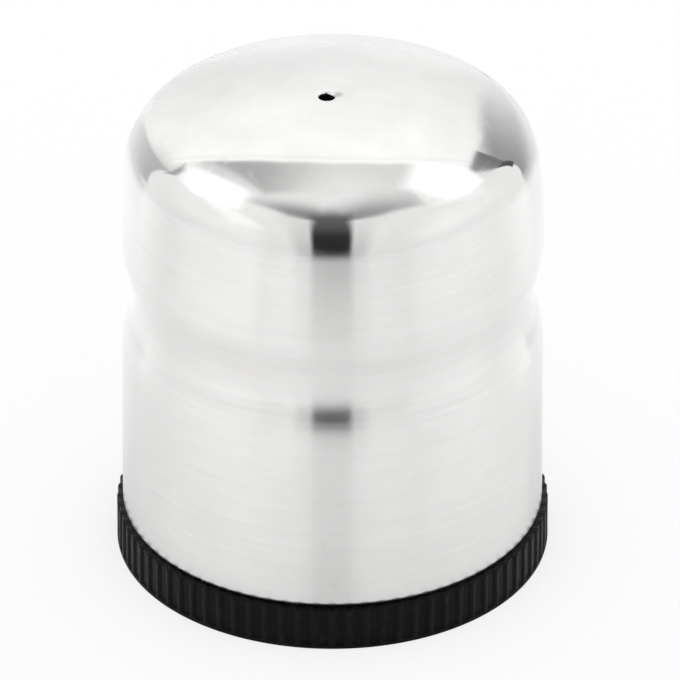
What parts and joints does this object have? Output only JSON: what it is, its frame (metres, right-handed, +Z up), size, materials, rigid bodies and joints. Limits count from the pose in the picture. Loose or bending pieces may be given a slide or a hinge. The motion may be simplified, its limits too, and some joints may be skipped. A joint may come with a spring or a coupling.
{
  "type": "table shaker",
  "caption": "Brushed steel dome shaker with a waist and one pour hole, filled from below through a black ribbed screw base.",
  "frame": {"origin": "centre of the ring that the shaker stands on, at table height", "axes": "+Z up along the axis of the dome and of the screw thread; -Y is the front; the pour hole lies 0.6 mm towards -X"},
  "size_m": [0.047, 0.047, 0.0555],
  "materials": {
    "brushed_steel": "fine satin brushing around the axis",
    "black_plastic": "moulded black plastic, semi-matte",
    "seal_rubber": "natural white silicone"
  },
  "bodies": {
    "base": {"screw_base": "black_plastic"},
    "seal": {"seal_ring": "seal_rubber"},
    "dome": {"shell": "brushed_steel", "threaded_collar": "black_plastic"}
  },
  "joints": [
    {"name": "dome_lift", "type": "slide", "parent": "base", "child": "seal", "axis": [0, 0, 1], "range_m": [0, 0.00313]},
    {"name": "dome_turn", "type": "hinge", "parent": "seal", "child": "dome", "pos_m": [0, 0, 0.0134], "axis": [0, 0, 1], "range_deg": [0, 450]}
  ],
  "couplings": [
    {"joint": "dome_lift", "follows": "dome_turn", "m_per_rad": 0.00039789}
  ]
}
